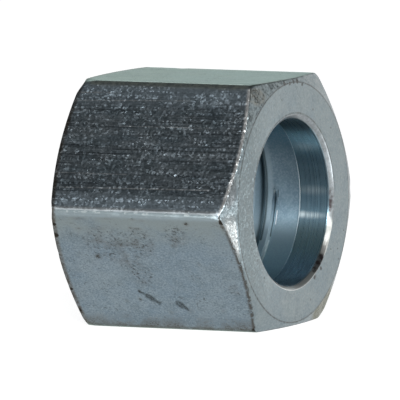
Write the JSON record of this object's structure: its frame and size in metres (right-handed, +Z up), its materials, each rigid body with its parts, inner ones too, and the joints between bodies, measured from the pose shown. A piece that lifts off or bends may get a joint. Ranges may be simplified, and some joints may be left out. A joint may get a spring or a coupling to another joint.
{
  "type": "tube nut",
  "caption": "Hexagon tube nut, turned in one piece, with a narrow sleeve bore at one end and an inner thread at the other.",
  "frame": {"origin": "on the nut's axis, halfway between its two end faces", "axes": "+X along the axis towards the tube end, +Z up through the middle of a flat, so the nut lies on a flat"},
  "size_m": [0.02, 0.0274, 0.024],
  "materials": {
    "plated_steel": "zinc plated, worn and stained, drawn flats and turned ends"
  },
  "bodies": {
    "root": {"tube_nut": "plated_steel"}
  },
  "joints": []
}
